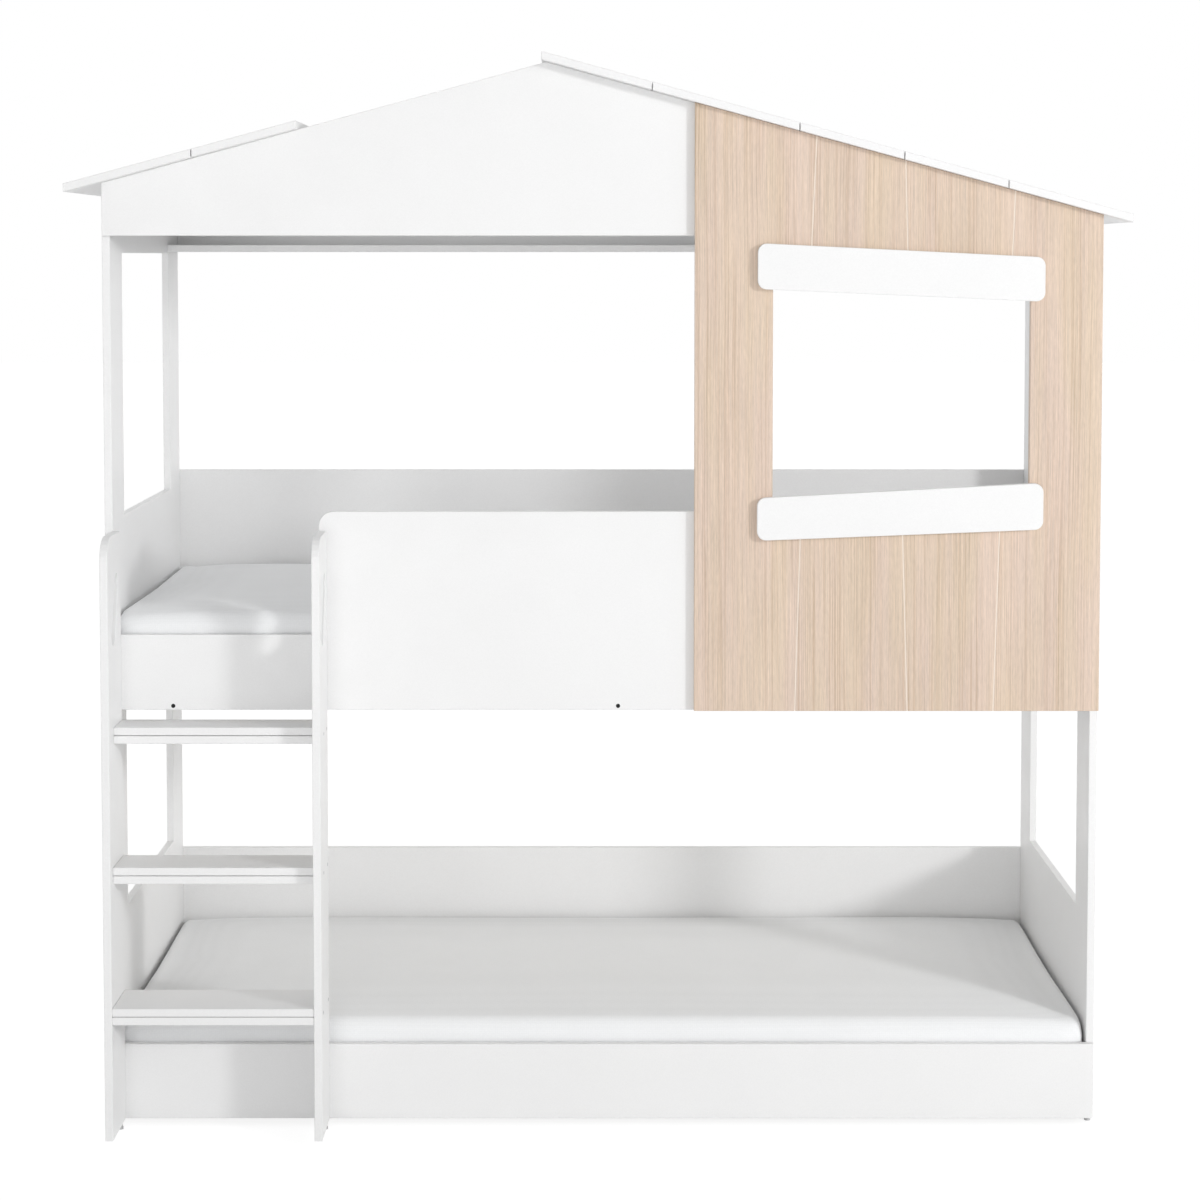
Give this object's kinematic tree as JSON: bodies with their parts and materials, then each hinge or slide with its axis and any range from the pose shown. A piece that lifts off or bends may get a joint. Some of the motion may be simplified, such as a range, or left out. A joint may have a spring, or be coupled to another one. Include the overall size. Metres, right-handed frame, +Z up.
{
  "type": "house bunk bed",
  "caption": "House-shaped bunk bed: white panel frame under a part-boarded gable roof, a wood-grain front with a window, a fixed ladder at the left and loose mattresses on slats.",
  "frame": {"origin": "on the floor, at the centre of the bed's outline seen from above, roof and ladder included", "axes": "+X along the bed to the right seen from the front, +Y from the ladder side to the back, +Z up"},
  "size_m": [2.159, 1.123, 2.2073],
  "materials": {
    "white_melamine": "white melamine-faced chipboard, satin with a faint pore, matching edge band",
    "wood_grain_melamine": "pale oak print on chipboard, satin, upright grain with slanting white groove lines",
    "planed_pine": "planed raw pine slats and battens",
    "mattress_cover": "white stretched fine cotton cover on foam",
    "zinc_plated_steel": "zinc plated, satin",
    "black_oxide_steel": "black oxide, satin",
    "grey_plastic": "moulded light grey plastic, matte"
  },
  "bodies": {
    "frame": {"back_gable": "white_melamine", "back_panel_lower": "white_melamine", "back_panel_upper": "white_melamine", "batten_lower_back": "planed_pine", "batten_lower_front": "planed_pine", "batten_upper_back": "planed_pine", "batten_upper_front": "planed_pine", "cross_bar_1": "white_melamine", "cross_bar_2": "white_melamine", "cross_bar_3": "white_melamine", "front_board_lower": "white_melamine", "front_gable": "white_melamine", "glide_back_left": "grey_plastic", "glide_back_right": "grey_plastic", "glide_front_left": "grey_plastic", "glide_front_right": "grey_plastic", "glide_ladder_left": "grey_plastic", "glide_ladder_right": "grey_plastic", "guard_panel": "white_melamine", "ladder_screw_left_1_front": "zinc_plated_steel", "ladder_screw_left_1_rear": "zinc_plated_steel", "ladder_screw_left_2_front": "zinc_plated_steel", "ladder_screw_left_2_rear": "zinc_plated_steel", "ladder_screw_left_3_front": "zinc_plated_steel", "ladder_screw_left_3_rear": "zinc_plated_steel", "ladder_screw_right_1_front": "zinc_plated_steel", "ladder_screw_right_1_rear": "zinc_plated_steel", "ladder_screw_right_2_front": "zinc_plated_steel", "ladder_screw_right_2_rear": "zinc_plated_steel", "ladder_screw_right_3_front": "zinc_plated_steel", "ladder_screw_right_3_rear": "zinc_plated_steel", "ladder_stile_left": "white_melamine", "ladder_stile_right": "white_melamine", "rail_bolt_1": "black_oxide_steel", "rail_bolt_2": "black_oxide_steel", "rail_bolt_3": "black_oxide_steel", "roof_board_left_1": "white_melamine", "roof_board_left_2": "white_melamine", "roof_board_right_1": "white_melamine", "roof_board_right_2": "white_melamine", "roof_board_right_3": "white_melamine", "roof_board_right_4": "white_melamine", "roof_board_right_5": "white_melamine", "side_panel_left": "white_melamine", "side_panel_right": "white_melamine", "slat_roll_lower": "planed_pine", "slat_roll_upper": "planed_pine", "top_rail_back": "white_melamine", "tread_1_lower_board": "white_melamine", "tread_1_upper_board": "white_melamine", "tread_2_lower_board": "white_melamine", "tread_2_upper_board": "white_melamine", "tread_3_lower_board": "white_melamine", "tread_3_upper_board": "white_melamine", "window_plank_lower": "white_melamine", "window_plank_upper": "white_melamine", "wood_front_panel": "wood_grain_melamine"},
    "mattress_upper": {"mattress_upper": "mattress_cover"},
    "mattress_lower": {"mattress_lower": "mattress_cover"}
  },
  "joints": [
    {"name": "mattress_upper_lift", "type": "slide", "parent": "frame", "child": "mattress_upper", "axis": [0, 0, 1], "range_m": [0, 0.35]},
    {"name": "mattress_lower_lift", "type": "slide", "parent": "frame", "child": "mattress_lower", "axis": [0, 0, 1], "range_m": [0, 0.15]}
  ]
}
